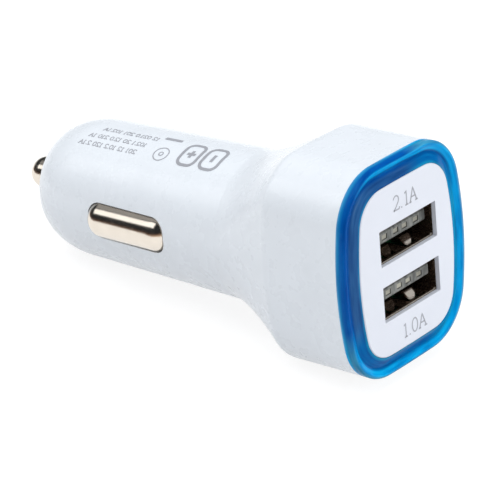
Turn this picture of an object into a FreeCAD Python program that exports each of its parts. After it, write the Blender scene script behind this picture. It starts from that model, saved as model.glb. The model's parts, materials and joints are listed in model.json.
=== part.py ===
"""Dual USB car charger that plugs into a 12 V socket.

The plug axis is Y. The origin is the centre of the front face, the nose points to +Y,
the two sockets are stacked along Z and open towards -Y. All lengths are millimetres.
"""

import FreeCAD, Part
import math
import os

Vector = FreeCAD.Vector
X_AXIS = Vector(1, 0, 0)
Y_AXIS = Vector(0, 1, 0)
Z_AXIS = Vector(0, 0, 1)

# Head: the block that stays outside the car's socket
head_width = 27.2
head_height = 30.7
head_corner_radius = 8.0
head_side_turn = 10.5
head_top_turn = 1.2
head_depth = 14.3
head_back_rounding = 1.8
seam_depth = 1.7

# Neck and plug barrel
flare_length = 11.3
flare_power = 1.5
flare_sections = 6
barrel_root_radius = 10.95
barrel_nose_radius = 10.3
barrel_length = 29.0
dome_length = 9.25
nose_flat_radius = 4.5

# Housing walls
mouth_wall = 1.72
head_wall = 2.6
barrel_wall = 1.6
shoulder_depth = 7.0
nose_wall = 3.4

# Front: blue light ring round a white plate
ring_width = 3.05
ring_crest_depth = 0.25
ring_crest_inset = 0.32
ring_crest_land = 0.28
ring_crest_fall = 0.06
ring_crest_bulge = 0.1
ring_edge_fall = 0.4
ring_valley_depth = 0.8
ring_valley_inset = 1.5
ring_lip_depth = 0.1
ring_back_depth = 4.9
ring_seat_clearance = 0.08
plate_clearance = 0.05
plate_thickness = 1.8
plate_edge_chamfer = 0.12
plate_skirt_depth = 4.5
plate_skirt_wall = 1.0

# USB sockets
port_pitch = 8.2
port_centre_drop = 0.35
port_centre_side = 0.45
socket_width = 12.5
socket_height = 5.12
socket_steel = 0.3
socket_corner_radius = 0.45
socket_length = 13.6
socket_front_depth = 0.75
opening_margin = 0.05
opening_corner_radius = 0.15
pocket_clearance = 0.1
tongue_setback = 0.65
tongue_drop = 0.3
tongue_width = 11.1
tongue_thickness = 1.84
tongue_edge_chamfer = 0.25
insulator_length = 3.2
insulator_clearance = 0.1
contact_width = 1.0
contact_thickness = 0.25
contact_inner_offset = 1.0
contact_outer_offset = 3.5
contact_lip = 1.0
contact_tip_rise = 0.65
contact_tip_height = 0.6
contact_slot_clearance = 0.08
contact_setback = 0.1
contact_tail = 0.5
latch_offset = 2.3
latch_width = 2.0
latch_length = 4.6
latch_top_rise = 0.5
latch_bottom_rise = 1.0
latch_bend = 0.9
latch_end_share = 0.15
latch_corner_radius = 0.75
latch_setback = 1.1
latch_window_clearance = 0.35
foot_width = 1.5
foot_setback = 7.7
foot_spacing = 3.6
foot_root_height = 0.9

# Circuit boards
board_thickness = 1.2
board_front_gap = 0.5
board_rail_clearance = 0.12
board_rail_height = 1.0
board_rail_grip = 0.9
board_rail_setback = 3.0
board_step_gap = 1.15
board_end_gap = 1.0
board_side_clearance = 0.3
lamp_board_thickness = 1.0
lamp_board_clearance = 0.15
lamp_length = 1.6
lamp_width = 0.8
lamp_height = 0.8
lamp_offset = 4.5

# Centre pin and its spring
tip_radius = 2.45
tip_reach = 6.65
tip_bore_clearance = 0.06
tip_travel = 3.0
tip_flange_radius = 3.4
tip_flange_thickness = 0.9
tip_shoulder_gap = 0.1
tip_spigot_radius = 1.6
tip_spigot_length = 2.0
chamber_radius = 3.6
chamber_wall = 1.4
chamber_spare = 1.85
tip_spring_wire = 0.55
tip_spring_radius = 2.45
tip_spring_turns = 5
tip_spring_sides = 8
spring_seat_gap = 0.03
terminal_radius = 3.45
terminal_thickness = 0.6
terminal_tab_width = 2.4
terminal_tab_length = 5.0
terminal_tab_thickness = 0.5

# Side contacts and their springs
side_setback = 12.0
side_length = 14.5
side_width = 5.3
side_corner_radius = 2.1
side_proud = 1.35
side_crown_radius = 2.8
side_end_crown = 2.6
side_sheet = 0.4
side_slot_clearance = 0.12
side_flange_margin = 0.65
side_flange_length_margin = 1.2
side_flange_clearance = 0.15
side_travel = 1.2
side_board_gap = 1.65
bow_thickness = 0.3
bow_width = 1.8
bow_half_span = 5.2
bow_board_gap = 0.12
bow_crown_gap = 0.05
bow_foot_length = 1.5
bow_foot_width = 1.6

# Parts on the main board
choke_radius = 4.0
choke_height = 5.6
choke_flange = 0.8
choke_core_radius = 1.8
choke_winding_radius = 3.5
choke_winding_gap = 0.05
input_can_radius = 3.15
input_can_length = 8.0
output_can_radius = 2.5
output_can_length = 7.0
can_groove_depth = 0.25
can_groove_width = 0.8
can_end_chamfer = 0.3
chip_length = 4.9
chip_body_width = 3.9
chip_height = 1.5
chip_leg_span = 6.0
chip_leg_width = 0.42
chip_leg_pitch = 1.27
chip_leg_thickness = 0.25
chip_legs_per_side = 4
diode_length = 4.3
diode_width = 2.6
diode_height = 2.2
diode_offset = 4.6
diode_chamfer = 0.35
fuse_length = 6.1
fuse_width = 2.6
fuse_height = 2.4
fuse_waist_step = 0.2
fuse_waist_length = 3.0
resistor_length = 1.6
resistor_width = 0.8
resistor_height = 0.5
resistor_offset = 6.9
resistor_end_gap = 4.2
resistor_spacing = 2.6
resistor_count = 3

# How far pieces of one solid run into each other before they are fused, and cuts run past a face
join = 0.5
spare = 1.0

# How near an edge lies to a plane to count as lying in it
edge_tolerance = 1e-4

# Places worked out from the sizes above
flare_end = head_depth + flare_length
dome_start = flare_end + barrel_length
nose_end = dome_start + dome_length
tip_end = nose_end + tip_reach
chamber_end = nose_end - nose_wall
pin_flange_start = chamber_end - tip_shoulder_gap - tip_flange_thickness
terminal_end = pin_flange_start - tip_spigot_length - tip_travel - chamber_spare
chamber_front = terminal_end - terminal_thickness
upper_port = port_pitch / 2 - port_centre_drop
lower_port = -port_pitch / 2 - port_centre_drop
board_top = -port_centre_drop + board_thickness / 2
board_bottom = -port_centre_drop - board_thickness / 2
lamp_board_front = shoulder_depth - lamp_board_thickness
board_front = shoulder_depth + board_front_gap
plate_offset = ring_width + plate_clearance
tongue_front_depth = socket_front_depth + tongue_setback
latch_end_depth = socket_front_depth + latch_setback
foot_first_depth = socket_front_depth + foot_setback
socket_end = socket_front_depth + socket_length
side_centre = dome_start - side_setback
flange_length = side_length + 2 * side_flange_length_margin
board_rail_start = head_depth + board_rail_setback
board_wide_end = side_centre - flange_length / 2 - board_step_gap
board_end = chamber_front - board_end_gap

# Diode, choke and input capacitor share the room above the board with even gaps
top_room = chamber_front - terminal_tab_length - socket_end
top_gap = (top_room - diode_length - 2 * choke_radius - input_can_length) / 4
diode_depth = socket_end + top_gap + diode_length / 2
choke_depth = diode_depth + diode_length / 2 + top_gap + choke_radius
input_can_front = choke_depth + choke_radius + top_gap

# Output capacitor, chip and fuse do the same below it
low_gap = (board_end - socket_end - output_can_length - chip_length - fuse_length) / 4
output_can_front = socket_end + low_gap
chip_depth = output_can_front + output_can_length + low_gap + chip_length / 2
fuse_depth = chip_depth + chip_length / 2 + low_gap + fuse_length / 2


def barrel_radius(y):
    """Outer radius of the tapered barrel at depth y."""
    taper = (barrel_root_radius - barrel_nose_radius) / barrel_length
    return barrel_root_radius - taper * (y - flare_end)


def arc(centre_x, centre_z, radius, start, end, y):
    """Arc in the plane at depth y, between two angles in degrees."""
    points = []
    for angle in (start, (start + end) / 2, end):
        turn = math.radians(angle)
        x = centre_x + radius * math.cos(turn)
        z = centre_z + radius * math.sin(turn)
        points.append(Vector(x, y, z))
    return Part.Arc(*points).toShape()


def crowned_outline(half_width, half_height, corner_radius, y):
    """Rounded rectangle with slightly bulging sides, as eight tangent arcs; equal sizes give a circle."""
    side = math.radians(head_side_turn)
    top = math.radians(head_top_turn)
    side_drop = 1 - math.cos(side)
    top_drop = 1 - math.cos(top)
    across = half_width - corner_radius
    up = half_height - corner_radius
    scale = side_drop * top_drop - math.sin(side) * math.sin(top)
    side_extra = (across * top_drop - up * math.sin(top)) / scale
    top_extra = (up * side_drop - across * math.sin(side)) / scale
    side_radius = corner_radius + side_extra
    top_radius = corner_radius + top_extra
    side_x = half_width - side_radius
    top_z = half_height - top_radius
    corner_x = side_x + side_extra * math.cos(side)
    corner_z = side_extra * math.sin(side)
    a = head_side_turn
    b = 90 - head_top_turn
    edges = [
        arc(side_x, 0, side_radius, -a, a, y),
        arc(corner_x, corner_z, corner_radius, a, b, y),
        arc(0, top_z, top_radius, b, 180 - b, y),
        arc(-corner_x, corner_z, corner_radius, 180 - b, 180 - a, y),
        arc(-side_x, 0, side_radius, 180 - a, 180 + a, y),
        arc(-corner_x, -corner_z, corner_radius, 180 + a, 180 + b, y),
        arc(0, -top_z, top_radius, 180 + b, 360 - b, y),
        arc(corner_x, -corner_z, corner_radius, 360 - b, 360 - a, y),
    ]
    return Part.Wire(edges)


def head_outline(inset, y):
    """Outline of the head, moved inwards by inset."""
    return crowned_outline(
        head_width / 2 - inset, head_height / 2 - inset, head_corner_radius - inset, y
    )


def head_prism(inset, start, end):
    face = Part.Face(head_outline(inset, start))
    return face.extrude(Vector(0, end - start, 0))


def flare_outline(share, inset, y):
    """Section of the neck: share 1 is the head's outline and share 0 the barrel's circle."""
    half_width = barrel_root_radius + share * (head_width / 2 - barrel_root_radius)
    half_height = barrel_root_radius + share * (head_height / 2 - barrel_root_radius)
    corner = barrel_root_radius + share * (head_corner_radius - barrel_root_radius)
    return crowned_outline(half_width - inset, half_height - inset, corner - inset, y)


def flare(wall_at_head, wall_at_barrel):
    """Loft from the back of the head to the round barrel, thinned by a wall on every side."""
    sections = []
    for i in range(flare_sections + 1):
        along = i / flare_sections
        share = (1 - along) ** flare_power
        inset = wall_at_barrel + (wall_at_head - wall_at_barrel) * (1 - along)
        sections.append(flare_outline(share, inset, head_depth + along * flare_length))
    return Part.makeLoft(sections, True, False)


def plug_profile(inset, end_radius, end):
    """Half section of the barrel and its domed nose, from the axis outwards."""
    root = Vector(barrel_root_radius - inset, flare_end, 0)
    shoulder = Vector(barrel_nose_radius - inset, dome_start, 0)
    tip = Vector(end_radius, end, 0)
    taller = end - dome_start > shoulder.x - end_radius
    long_end, short_end = (tip, shoulder) if taller else (shoulder, tip)
    ellipse = Part.Ellipse(long_end, short_end, Vector(end_radius, dome_start, 0))
    dome = Part.ArcOfEllipse(ellipse, 0, math.pi / 2).toShape()
    axis_root = Vector(0, flare_end, 0)
    axis_tip = Vector(0, end, 0)
    edges = [
        Part.makeLine(axis_root, root),
        Part.makeLine(root, shoulder),
        dome,
        Part.makeLine(tip, axis_tip),
        Part.makeLine(axis_tip, axis_root),
    ]
    return Part.Face(Part.Wire(Part.__sortEdges__(edges)))


def plug_body(inset, end_radius, end):
    return plug_profile(inset, end_radius, end).revolve(Vector(0, 0, 0), Y_AXIS, 360)


def cylinder(radius, start, end):
    """Round bar along the plug axis."""
    return Part.makeCylinder(radius, end - start, Vector(0, start, 0), Y_AXIS)


def block(x, y, z):
    """Box between two values on each axis, given as (low, high) pairs."""
    corner = Vector(x[0], y[0], z[0])
    return Part.makeBox(x[1] - x[0], y[1] - y[0], z[1] - z[0], corner)


def rounded_rectangle(half_a, half_b, radius, place):
    """Closed wire of a rounded rectangle; place turns its (a, b) coordinates into points."""
    def corner(sign_a, sign_b, first):
        centre_a = sign_a * (half_a - radius)
        centre_b = sign_b * (half_b - radius)
        points = []
        for angle in (first, first + 45, first + 90):
            turn = math.radians(angle)
            points.append(
                place(centre_a + radius * math.cos(turn), centre_b + radius * math.sin(turn))
            )
        return points

    corners = [corner(1, 1, 0), corner(-1, 1, 90), corner(-1, -1, 180), corner(1, -1, 270)]
    edges = []
    for i, points in enumerate(corners):
        edges.append(Part.Arc(*points).toShape())
        edges.append(Part.makeLine(points[2], corners[(i + 1) % 4][0]))
    return Part.Wire(edges)


def socket_tube(width, height, radius, start, end, centre_z):
    """Rounded rectangular bar along Y, centred on a port."""
    wire = rounded_rectangle(
        width / 2, height / 2, radius, lambda a, b: Vector(port_centre_side + a, start, centre_z + b)
    )
    return Part.Face(wire).extrude(Vector(0, end - start, 0))


def side_bar(length, width, radius, start, end):
    """Rounded rectangular bar along +X at the side contact's place."""
    wire = rounded_rectangle(
        length / 2, width / 2, radius, lambda a, b: Vector(start, side_centre + a, b)
    )
    return Part.Face(wire).extrude(Vector(end - start, 0, 0))


def mirrored(shape):
    """The same piece on the -X side."""
    return shape.mirror(Vector(0, 0, 0), X_AXIS)


# Side contact places
side_top = barrel_radius(side_centre) + side_proud
crown_axis = side_top - side_crown_radius
flange_half_width = side_width / 2 + side_flange_margin
flange_inner_radius = barrel_radius(side_centre + flange_length / 2) - barrel_wall
flange_face = math.sqrt(flange_inner_radius**2 - flange_half_width**2) - side_flange_clearance
board_narrow_width = 2 * (flange_face - side_sheet - side_travel - side_board_gap)


def side_slot():
    return side_bar(
        side_length + 2 * side_slot_clearance,
        side_width + 2 * side_slot_clearance,
        side_corner_radius + side_slot_clearance,
        flange_face,
        side_top,
    )


def board_rails():
    """Two pairs of ribs inside the barrel that hold the edges of the main board."""
    inner_radius = barrel_radius(board_wide_end) - barrel_wall
    edge = board_half_width()
    ribs = []
    for low in (
        board_top + board_rail_clearance,
        board_bottom - board_rail_clearance - board_rail_height,
    ):
        rib = block(
            (edge - board_rail_grip, inner_radius + barrel_wall / 2),
            (board_rail_start, board_wide_end),
            (low, low + board_rail_height),
        )
        ribs.append(rib)
        ribs.append(mirrored(rib))
    return ribs


def board_half_width():
    """The board's wide part just fits the barrel's bore, and the head's room if that is narrower."""
    inner_radius = barrel_radius(board_wide_end) - barrel_wall
    far_face = max(abs(board_top), abs(board_bottom))
    in_barrel = math.sqrt(inner_radius**2 - far_face**2) - board_rail_clearance
    in_head = head_width / 2 - head_wall - board_side_clearance
    return min(in_barrel, in_head)


def housing():
    """One moulding: head block, flared neck, barrel and domed nose, hollow inside."""
    outside = head_prism(0, seam_depth, head_depth)
    outside = outside.fuse(flare(0, 0)).fuse(plug_body(0, nose_flat_radius, nose_end))
    outside = outside.removeSplitter()
    back_edges = [
        edge
        for edge in outside.Edges
        if abs(edge.BoundBox.YMin - head_depth) < edge_tolerance
        and abs(edge.BoundBox.YMax - head_depth) < edge_tolerance
    ]
    outside = outside.makeFillet(head_back_rounding, back_edges)
    mouth = head_prism(mouth_wall, seam_depth - spare, shoulder_depth)
    head_room = head_prism(head_wall, shoulder_depth - join, head_depth)
    neck_room = flare(head_wall, barrel_wall)
    plug_room = plug_body(barrel_wall, nose_flat_radius - barrel_wall, nose_end - barrel_wall)
    room = mouth.fuse(head_room).fuse(neck_room).fuse(plug_room)
    boss = cylinder(chamber_radius + chamber_wall, chamber_front, nose_end)
    room = room.cut(boss)
    shell = outside.cut(room)
    shell = shell.fuse(board_rails())
    shell = shell.cut(cylinder(chamber_radius, chamber_front - spare, chamber_end))
    shell = shell.cut(cylinder(tip_radius + tip_bore_clearance, chamber_end - join, nose_end + spare))
    slot = side_slot()
    shell = shell.cut(slot).cut(mirrored(slot))
    return shell


def light_ring():
    """Clear blue light guide: a grooved bezel with a skirt that sits in the housing's mouth."""
    half_width = head_width / 2

    def point(inset, y):
        return Vector(half_width - inset, y, 0)

    skirt_outside = mouth_wall + ring_seat_clearance
    crest_end = ring_crest_inset + ring_crest_land
    edge_depth = ring_crest_depth + ring_edge_fall
    outline = [
        point(ring_width, ring_lip_depth),
        point(ring_valley_inset, ring_valley_depth),
        point(crest_end, ring_crest_depth + ring_crest_fall),
    ]
    crest_middle = point(ring_crest_inset - ring_crest_bulge, ring_crest_depth + ring_crest_bulge)
    crest = Part.Arc(outline[2], crest_middle, point(0, edge_depth))
    rest = [
        point(0, edge_depth),
        point(0, seam_depth),
        point(skirt_outside, seam_depth),
        point(skirt_outside, ring_back_depth),
        point(ring_width, ring_back_depth),
        point(ring_width, ring_lip_depth),
    ]
    edges = [Part.makeLine(a, b) for a, b in zip(outline, outline[1:])]
    edges.append(crest.toShape())
    edges += [Part.makeLine(a, b) for a, b in zip(rest, rest[1:])]
    profile = Part.Wire(edges)
    path = head_outline(0, 0)
    return path.makePipeShell([profile], True, True)


def face_plate():
    """White plate with the two socket openings and a skirt behind it."""
    plate = head_prism(plate_offset, 0, plate_thickness)
    front_edges = [edge for edge in plate.Edges if edge.BoundBox.YMax < edge_tolerance]
    plate = plate.makeChamfer(plate_edge_chamfer, front_edges)
    skirt = head_prism(plate_offset, plate_thickness - join, plate_skirt_depth)
    skirt = skirt.cut(head_prism(plate_offset + plate_skirt_wall, 0, plate_skirt_depth + spare))
    plate = plate.fuse(skirt)
    for centre_z in (upper_port, lower_port):
        opening = socket_tube(
            socket_width + 2 * opening_margin,
            socket_height + 2 * opening_margin,
            opening_corner_radius,
            -spare,
            plate_thickness + spare,
            centre_z,
        )
        pocket = socket_tube(
            socket_width + 2 * (socket_steel + pocket_clearance),
            socket_height + 2 * (socket_steel + pocket_clearance),
            socket_corner_radius + socket_steel,
            socket_front_depth - pocket_clearance / 2,
            plate_thickness + spare,
            centre_z,
        )
        plate = plate.cut(opening).cut(pocket)
    return plate


def latch(centre_x, wall_z, inwards):
    """Spring finger cut from the socket's wall, bent towards the plug, with its free end in front."""
    rear = latch_end_depth + latch_length
    bend = latch_end_depth + latch_bend
    rise = latch_bottom_rise if inwards > 0 else latch_top_rise
    high = wall_z + inwards * rise
    end = wall_z + inwards * rise * latch_end_share
    under = -inwards * socket_steel
    outline = [
        Vector(0, rear, wall_z),
        Vector(0, bend, high),
        Vector(0, latch_end_depth, end),
        Vector(0, latch_end_depth, end + under),
        Vector(0, bend, high + under),
        Vector(0, rear, wall_z + under),
    ]
    face = Part.Face(Part.makePolygon(outline + outline[:1]))
    finger = face.extrude(Vector(latch_width, 0, 0))
    finger.translate(Vector(centre_x - latch_width / 2, 0, 0))
    half_length = latch_length / 2 + latch_corner_radius
    middle = latch_end_depth + half_length
    low = wall_z - rise - socket_steel
    plan = rounded_rectangle(
        latch_width / 2, half_length, latch_corner_radius, lambda a, b: Vector(centre_x + a, middle + b, low)
    )
    room = Part.Face(plan).extrude(Vector(0, 0, 2 * (rise + socket_steel)))
    return finger.common(room)


def usb_shell(centre_z, board_side):
    """Folded steel shield of one socket, with spring fingers and solder feet."""
    shell = socket_tube(
        socket_width + 2 * socket_steel,
        socket_height + 2 * socket_steel,
        socket_corner_radius + socket_steel,
        socket_front_depth,
        socket_end,
        centre_z,
    )
    inside = socket_tube(
        socket_width,
        socket_height,
        socket_corner_radius,
        socket_front_depth - spare,
        socket_end - socket_steel,
        centre_z,
    )
    shell = shell.cut(inside)
    for side in (-1, 1):
        wall_z = centre_z + side * socket_height / 2
        for centre_x in (port_centre_side - latch_offset, port_centre_side + latch_offset):
            half = latch_width / 2 + latch_window_clearance
            window = block(
                (centre_x - half, centre_x + half),
                (latch_end_depth - latch_window_clearance, latch_end_depth + latch_length),
                (wall_z - socket_steel * 2, wall_z + socket_steel * 2),
            )
            shell = shell.cut(window)
            finger = latch(centre_x, wall_z, -side)
            root = block(
                (centre_x - latch_width / 2, centre_x + latch_width / 2),
                (latch_end_depth + latch_length - join, latch_end_depth + latch_length + join / 2),
                sorted((wall_z, wall_z + side * socket_steel)),
            )
            shell = shell.fuse(finger).fuse(root)
    foot_start = centre_z + board_side * (socket_height / 2 + socket_steel / 2)
    foot_end = board_top if board_side < 0 else board_bottom
    for side in (-1, 1):
        outer = port_centre_side + side * (socket_width / 2 + socket_steel)
        for i in range(2):
            front = foot_first_depth + i * foot_spacing
            foot = block(
                sorted((outer - side * socket_steel, outer)),
                (front, front + foot_width),
                sorted((foot_start - board_side * foot_root_height, foot_end)),
            )
            shell = shell.fuse(foot)
    return shell.removeSplitter()


def contact_places():
    """Places of a socket's four contacts across it."""
    offsets = (-contact_outer_offset, -contact_inner_offset, contact_inner_offset, contact_outer_offset)
    return [port_centre_side + offset for offset in offsets]


def usb_tongue(centre_z):
    """Plastic insulator: a block at the back of the socket and the tongue that carries the contacts."""
    end = socket_end - socket_steel
    base = socket_tube(
        socket_width - 2 * insulator_clearance,
        socket_height - 2 * insulator_clearance,
        socket_corner_radius,
        end - insulator_length,
        end,
        centre_z,
    )
    low = centre_z - tongue_drop
    tongue = block(
        (port_centre_side - tongue_width / 2, port_centre_side + tongue_width / 2),
        (tongue_front_depth, end - insulator_length + join),
        (low, low + tongue_thickness),
    )
    front_edges = [
        edge
        for edge in tongue.Edges
        if edge.BoundBox.YMax < tongue_front_depth + edge_tolerance
        and edge.BoundBox.XLength > tongue_thickness
    ]
    tongue = tongue.makeChamfer(tongue_edge_chamfer, front_edges)
    piece = base.fuse(tongue)
    for x in contact_places():
        half = contact_width / 2 + contact_slot_clearance
        window_low = low + contact_tip_rise - contact_slot_clearance
        window_high = low + contact_tip_rise + contact_tip_height + contact_slot_clearance
        slot_front = tongue_front_depth + contact_lip - contact_slot_clearance
        slot_end = tongue_front_depth + contact_lip + contact_thickness + contact_slot_clearance
        window = block(
            (x - half, x + half),
            (tongue_front_depth - spare, slot_end),
            (window_low, window_high),
        )
        slot = block((x - half, x + half), (slot_front, slot_end), (low - spare, window_high))
        way = block(
            (x - half, x + half),
            (end - insulator_length - spare, end + spare),
            (low - contact_thickness - contact_slot_clearance, low),
        )
        piece = piece.cut(window).cut(slot).cut(way)
    return piece


def usb_contacts(centre_z):
    """Four flat springs under the tongue, each with its end behind the lip, in a window of the front."""
    end = socket_end - socket_steel - contact_tail
    top = centre_z - tongue_drop
    strips = []
    for x in contact_places():
        across = (x - contact_width / 2, x + contact_width / 2)
        front = tongue_front_depth + contact_lip
        tip_low = top + contact_tip_rise
        tip_high = tip_low + contact_tip_height
        strip = block(across, (front, end), (top - contact_thickness, top))
        riser = block(across, (front, front + contact_thickness), (top - contact_thickness, tip_high))
        tip = block(
            across,
            (tongue_front_depth + contact_setback, front + contact_thickness),
            (tip_low, tip_high),
        )
        strips.append(strip.fuse(riser).fuse(tip).removeSplitter())
    return Part.makeCompound(strips)


def main_board():
    """Board that slides into the rails: wide between the sockets, narrow between the side contacts."""
    half = board_half_width()
    wide = block((-half, half), (board_front, board_wide_end), (board_bottom, board_top))
    narrow = block(
        (-board_narrow_width / 2, board_narrow_width / 2),
        (board_wide_end - join, board_end),
        (board_bottom, board_top),
    )
    tongue = block(
        (-contact_outer_offset, contact_outer_offset),
        (shoulder_depth, board_front + join),
        (board_bottom, board_top),
    )
    return wide.fuse(narrow).fuse(tongue).removeSplitter()


def lamp_board():
    """Upright board on the housing's shoulder; both sockets pass through it."""
    board = head_prism(mouth_wall + lamp_board_clearance, lamp_board_front, shoulder_depth)
    for centre_z in (upper_port, lower_port):
        hole = socket_tube(
            socket_width + 2 * (socket_steel + pocket_clearance),
            socket_height + 2 * (socket_steel + pocket_clearance),
            socket_corner_radius + socket_steel,
            lamp_board_front - spare,
            shoulder_depth + spare,
            centre_z,
        )
        board = board.cut(hole)
    return board


def lamps():
    """Small lamps on the lamp board that shine into the back of the ring's skirt."""
    radial = mouth_wall + ring_seat_clearance + (ring_width - mouth_wall - ring_seat_clearance) / 2
    side_x = head_width / 2 - radial
    top_z = head_height / 2 - radial
    depth = (lamp_board_front - lamp_height, lamp_board_front)
    group = []
    for side in (-1, 1):
        group.append(
            block(
                sorted((side * (side_x - lamp_width / 2), side * (side_x + lamp_width / 2))),
                depth,
                (-lamp_length / 2, lamp_length / 2),
            )
        )
        for x in (-lamp_offset, lamp_offset):
            group.append(
                block(
                    (x - lamp_length / 2, x + lamp_length / 2),
                    depth,
                    sorted((side * (top_z - lamp_width), side * top_z)),
                )
            )
    return Part.makeCompound(group)


def tip_contact():
    """Plated centre pin: domed end, stem in the nose bore, flange inside and a spigot for the spring."""
    flange_end = chamber_end - tip_shoulder_gap
    flange_start = pin_flange_start
    dome_start_y = tip_end - tip_radius
    corners = [
        Vector(0, flange_start - tip_spigot_length, 0),
        Vector(tip_spigot_radius, flange_start - tip_spigot_length, 0),
        Vector(tip_spigot_radius, flange_start, 0),
        Vector(tip_flange_radius, flange_start, 0),
        Vector(tip_flange_radius, flange_end, 0),
        Vector(tip_radius, flange_end, 0),
        Vector(tip_radius, dome_start_y, 0),
    ]
    edges = [Part.makeLine(a, b) for a, b in zip(corners, corners[1:])]
    point = Vector(0, tip_end, 0)
    circle = Part.Circle(Vector(0, dome_start_y, 0), Z_AXIS, tip_radius)
    edges.append(Part.ArcOfCircle(circle, 0, math.pi / 2).toShape())
    edges.append(Part.makeLine(point, corners[0]))
    return Part.Face(Part.Wire(edges)).revolve(Vector(0, 0, 0), Y_AXIS, 360)


def tip_spring():
    """Compression spring between the terminal and the pin's flange."""
    start = terminal_end + tip_spring_wire / 2 + spring_seat_gap
    end = pin_flange_start - tip_spring_wire / 2 - spring_seat_gap
    length = end - start
    helix = Part.makeHelix(length / tip_spring_turns, length, tip_spring_radius)
    corners = []
    for i in range(tip_spring_sides + 1):
        turn = 2 * math.pi * i / tip_spring_sides
        across = tip_spring_radius + tip_spring_wire / 2 * math.cos(turn)
        corners.append(Vector(across, 0, tip_spring_wire / 2 * math.sin(turn)))
    section = Part.makePolygon(corners)
    spring = Part.Wire(helix).makePipeShell([section], True, True)
    spring.rotate(Vector(0, 0, 0), X_AXIS, -90)
    spring.translate(Vector(0, start, 0))
    return spring


def tip_terminal():
    """Brass disc behind the spring, with a tab soldered to the main board."""
    disc = cylinder(terminal_radius, chamber_front, terminal_end)
    tab = block(
        (-terminal_tab_width / 2, terminal_tab_width / 2),
        (chamber_front - terminal_tab_length, chamber_front + terminal_thickness / 2),
        (board_top, board_top + terminal_tab_thickness),
    )
    return disc.fuse(tab).removeSplitter()


def crown(sheet):
    """Bar along Y with domed ends that gives the side contact its rounded top."""
    radius = side_crown_radius - sheet
    cap = side_end_crown - sheet
    half = side_length / 2 - sheet
    at_surface = math.sqrt(1 - ((side_top - side_proud - crown_axis) / side_crown_radius) ** 2)
    straight = half - cap * at_surface
    bar = Part.makeCylinder(radius, 2 * straight, Vector(0, -straight, 0), Y_AXIS)
    ball = Part.makeSphere(radius)
    flatten = FreeCAD.Matrix()
    flatten.scale(1, cap / radius, 1)
    end = ball.transformGeometry(flatten)
    for side in (-1, 1):
        placed = end.copy()
        placed.translate(Vector(0, side * straight, 0))
        bar = bar.fuse(placed)
    bar.translate(Vector(crown_axis, side_centre, 0))
    return bar


def side_contact():
    """Pressed side contact: domed cap that stands out of the slot, on a flange behind the wall."""
    low = flange_face - side_sheet
    body = side_bar(side_length, side_width, side_corner_radius, low, crown_axis)
    cap = side_bar(side_length, side_width, side_corner_radius, crown_axis, side_top + spare)
    body = body.fuse(cap.common(crown(0)))
    hollow = side_bar(
        side_length - 2 * side_sheet,
        side_width - 2 * side_sheet,
        side_corner_radius - side_sheet,
        low - spare,
        crown_axis,
    )
    hollow_cap = side_bar(
        side_length - 2 * side_sheet,
        side_width - 2 * side_sheet,
        side_corner_radius - side_sheet,
        crown_axis,
        side_top + spare,
    )
    hollow = hollow.fuse(hollow_cap.common(crown(side_sheet)))
    flange = side_bar(
        flange_length,
        2 * flange_half_width,
        side_corner_radius + side_flange_margin,
        low,
        flange_face,
    )
    return body.fuse(flange).cut(hollow)


def side_spring():
    """Bowed strip that pushes a side contact outwards, with two feet soldered to the main board."""
    root_x = board_narrow_width / 2 + bow_board_gap
    inner_crown = side_crown_radius - side_sheet
    crown_x = crown_axis + math.sqrt(inner_crown**2 - (bow_width / 2) ** 2) - bow_crown_gap
    rise = crown_x - root_x
    radius = (bow_half_span**2 + rise**2) / (2 * rise)
    centre_x = crown_x - radius
    start = math.asin(bow_half_span / radius)
    if centre_x > root_x:
        start = math.pi - start

    def arc_points(r, half_turn):
        return [
            Vector(centre_x + r * math.cos(a), side_centre + r * math.sin(a), 0)
            for a in (-half_turn, 0, half_turn)
        ]

    outer = arc_points(radius, start)
    inner = arc_points(radius - bow_thickness, start)
    edges = [
        Part.Arc(*outer).toShape(),
        Part.makeLine(outer[2], inner[2]),
        Part.Arc(*inner).toShape(),
        Part.makeLine(inner[0], outer[0]),
    ]
    bow = Part.Face(Part.Wire(Part.__sortEdges__(edges))).extrude(Vector(0, 0, bow_width))
    bow.translate(Vector(0, 0, -bow_width / 2))
    spring = bow
    for end in (outer[0], outer[2]):
        foot = block(
            (root_x - bow_foot_length, root_x + bow_thickness),
            (end.y - bow_foot_width / 2, end.y + bow_foot_width / 2),
            (board_top, board_top + bow_thickness),
        )
        spring = spring.fuse(foot)
    return spring.removeSplitter()


def choke_core():
    """Drum core that stands on the board."""
    top = board_top + choke_height
    place = Vector(0, choke_depth, board_top)
    core = Part.makeCylinder(choke_core_radius, choke_height, place)
    low = Part.makeCylinder(choke_radius, choke_flange, place)
    high = Part.makeCylinder(choke_radius, choke_flange, Vector(0, choke_depth, top - choke_flange))
    return core.fuse(low).fuse(high).removeSplitter()


def choke_winding():
    """Copper winding between the flanges of the core, as one closed ring."""
    place = Vector(0, choke_depth, board_top + choke_flange + choke_winding_gap)
    height = choke_height - 2 * choke_flange - 2 * choke_winding_gap
    outer = Part.makeCylinder(choke_winding_radius, height, place)
    return outer.cut(Part.makeCylinder(choke_core_radius + choke_winding_gap, height, place))


def capacitor(radius, length, front, centre_z):
    """Electrolytic can that lies on the board, with the rolled groove near its seal."""
    can = Part.makeCylinder(radius, length, Vector(0, front, centre_z), Y_AXIS)
    rims = [edge for edge in can.Edges if edge.BoundBox.YLength < edge_tolerance]
    can = can.makeChamfer(can_end_chamfer, rims)
    groove_y = front + length - 2 * can_groove_width
    groove = Part.makeCylinder(radius + spare, can_groove_width, Vector(0, groove_y, centre_z), Y_AXIS)
    neck = Part.makeCylinder(
        radius - can_groove_depth, can_groove_width, Vector(0, groove_y, centre_z), Y_AXIS
    )
    return can.cut(groove.cut(neck))


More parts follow.
